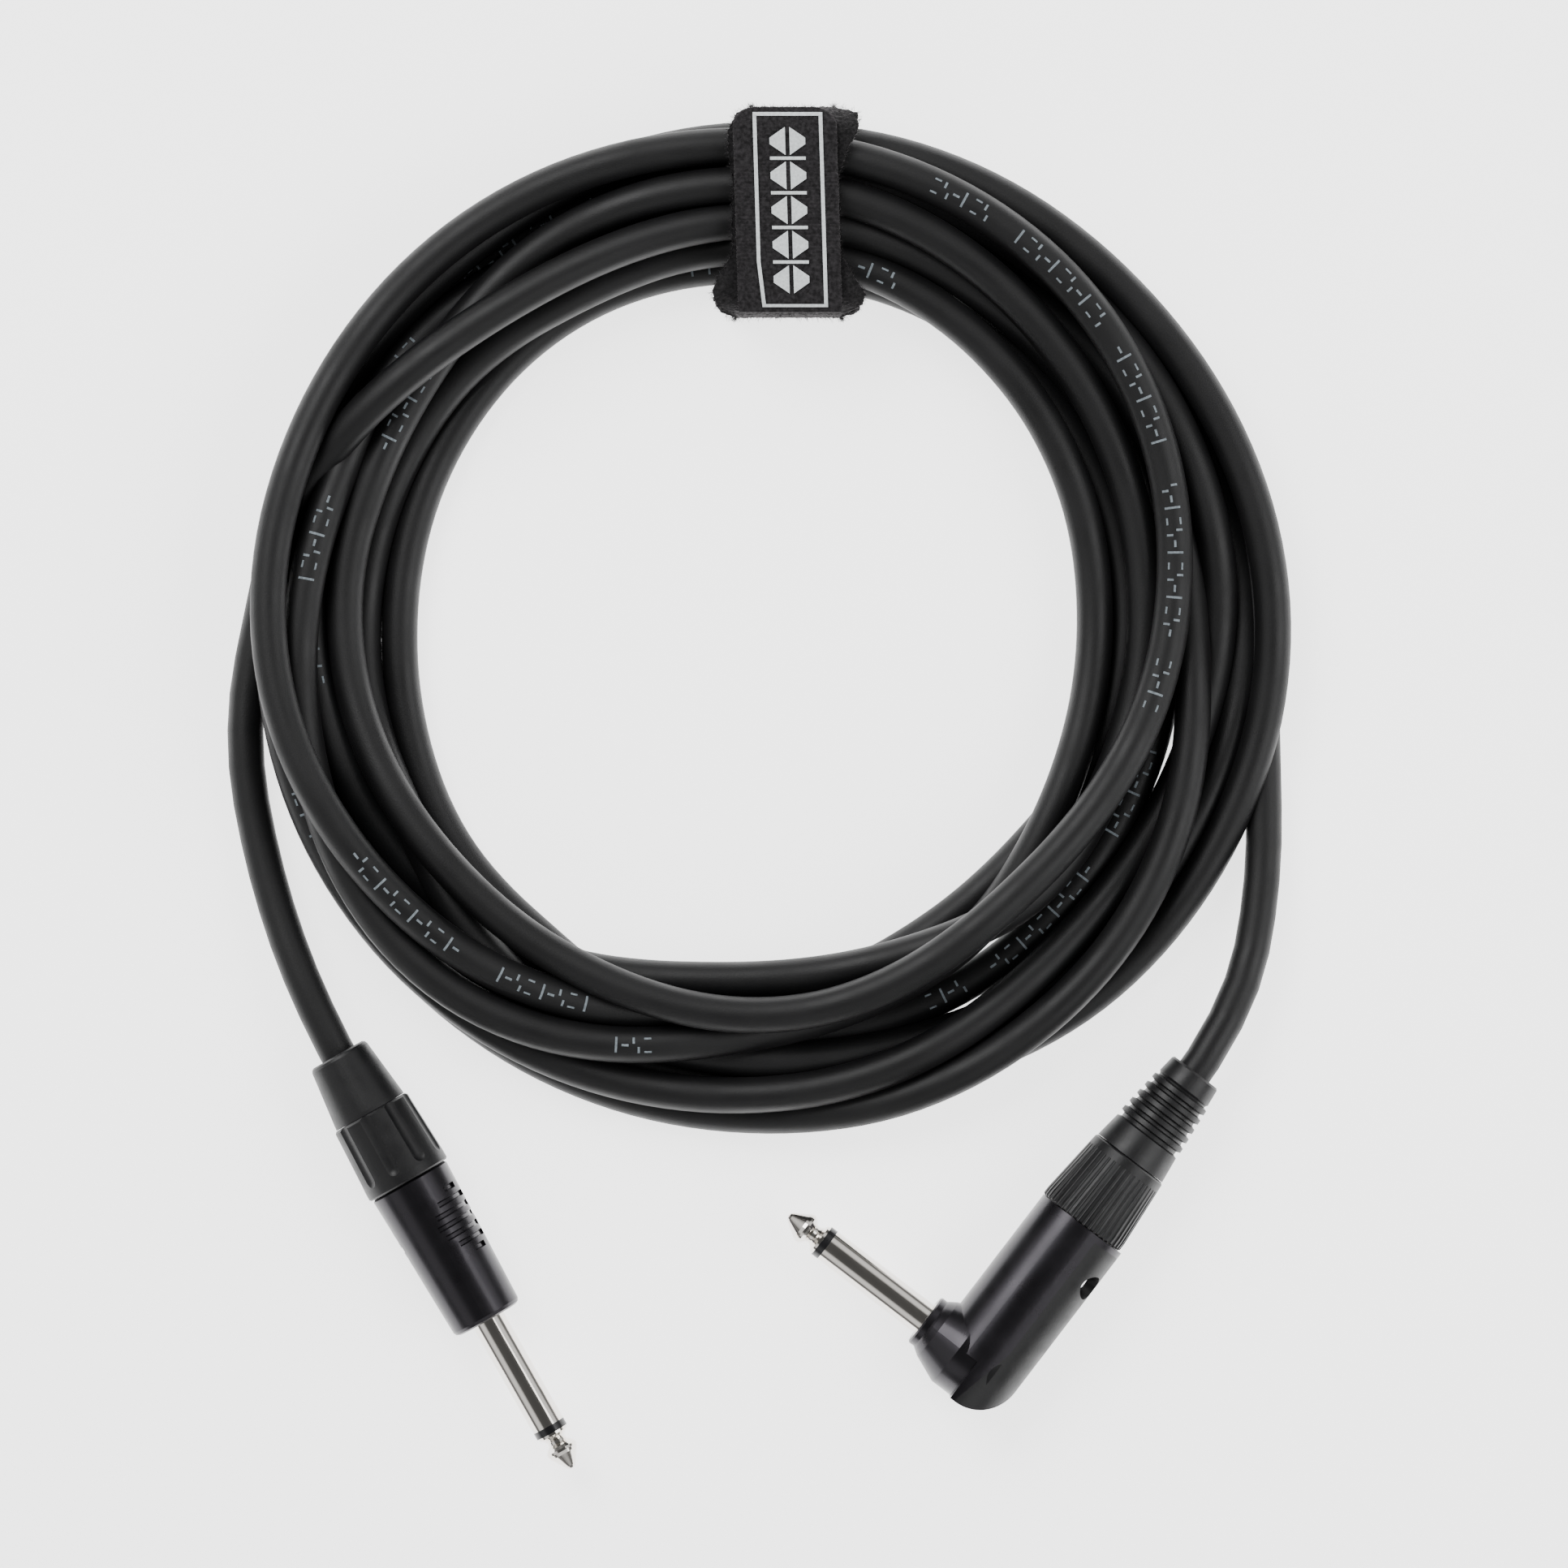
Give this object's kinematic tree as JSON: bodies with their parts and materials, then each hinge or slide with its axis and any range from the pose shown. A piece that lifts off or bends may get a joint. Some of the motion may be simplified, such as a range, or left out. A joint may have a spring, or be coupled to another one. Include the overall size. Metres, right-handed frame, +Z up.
{
  "type": "instrument cable",
  "caption": "Coiled instrument lead with a straight jack plug on one end, a right-angle jack plug on the other and a hook-and-loop tie.",
  "frame": {"origin": "centre of the footprint of the two plugs and the tie, on the surface the coil lies on", "axes": "+Z up from the surface; +Y from the plugs to the tie across the coil; +X to the right, towards the right-angle plug"},
  "size_m": [0.1995, 0.2538, 0.023],
  "materials": {
    "jacket": "matte black flexible jacket",
    "boot_rubber": "matte black rubber",
    "nut_plastic": "moulded black nylon",
    "shell_black": "satin black coated die-cast",
    "cover_plastic": "matte black",
    "screw_steel": "bright plated",
    "nickel": "polished nickel plate",
    "black_insulator": "black",
    "white_insulator": "natural nylon",
    "tinned_steel": "tinned",
    "core_insulation": "natural polyethylene",
    "copper_screen": "bare copper strands",
    "tie_fabric": "black loop and woven tape with a pale printed frame",
    "tie_hook": "black hook tape"
  },
  "bodies": {
    "cable": {"straight_tip_contact": "nickel", "straight_sleeve_contact": "nickel", "straight_tip_ring": "black_insulator", "straight_inner_insulator": "white_insulator", "straight_rear_insulator": "white_insulator", "straight_tip_lug": "tinned_steel", "straight_ground_tag": "tinned_steel", "straight_chuck": "white_insulator", "straight_cable_end": "jacket", "straight_core_wire": "core_insulation", "straight_screen_wire": "copper_screen", "angle_tip_contact": "nickel", "angle_sleeve_contact": "nickel", "angle_tip_ring": "black_insulator", "angle_inner_insulator": "white_insulator", "angle_rear_insulator": "white_insulator", "angle_tip_lug": "tinned_steel", "angle_ground_tag": "tinned_steel", "angle_chuck": "white_insulator", "angle_cable_end": "jacket", "angle_core_wire": "core_insulation", "angle_screen_wire": "copper_screen", "straight_shell": "shell_black", "angle_body": "shell_black", "tie_strap": "tie_fabric", "cord_coil": "jacket", "cord_straight_tail": "jacket", "cord_angle_tail": "jacket"},
    "straight_boot": {"straight_boot": "boot_rubber"},
    "straight_nut": {"straight_gland_nut": "nut_plastic"},
    "angle_boot": {"angle_boot": "boot_rubber"},
    "angle_nut": {"angle_gland_nut": "nut_plastic"},
    "angle_cover": {"angle_back_cover": "cover_plastic"},
    "angle_screw": {"angle_cover_screw": "screw_steel"},
    "tie_tab": {"tie_tab": "tie_fabric", "tie_hook_patch": "tie_hook"}
  },
  "joints": [
    {"name": "straight_boot_slide", "type": "slide", "parent": "cable", "child": "straight_boot", "axis": [-0.4939, 0.8695, 0], "range_m": [0, 0.005]},
    {"name": "straight_nut_turn", "type": "hinge", "parent": "straight_boot", "child": "straight_nut", "pos_m": [-0.06972, -0.06699, 0.0083], "axis": [-0.4939, 0.8695, 0], "range_deg": [0, 1440.01]},
    {"name": "angle_boot_slide", "type": "slide", "parent": "cable", "child": "angle_boot", "axis": [0.6074, 0.7944, 0], "range_m": [0, 0.005]},
    {"name": "angle_nut_turn", "type": "hinge", "parent": "angle_boot", "child": "angle_nut", "pos_m": [0.06835, -0.06879, 0.0089], "axis": [0.6074, 0.7944, 0], "range_deg": [0, 1440.01]},
    {"name": "angle_cover_slide", "type": "slide", "parent": "cable", "child": "angle_cover", "axis": [0.7944, -0.6074, 0], "range_m": [0, 0.012]},
    {"name": "angle_screw_turn", "type": "hinge", "parent": "angle_cover", "child": "angle_screw", "pos_m": [0.0586, -0.09142, 0.0125], "axis": [0.7944, -0.6074, 0], "continuous": true},
    {"name": "tie_tab_peel", "type": "hinge", "parent": "cable", "child": "tie_tab", "pos_m": [0.0039, 0.0915, 0.02245], "axis": [1, 0, 0], "range_deg": [0, 120]}
  ],
  "couplings": [
    {"joint": "straight_nut_turn", "follows": "straight_boot_slide", "rad_per_m": 5026.5},
    {"joint": "angle_nut_turn", "follows": "angle_boot_slide", "rad_per_m": 5026.5}
  ]
}
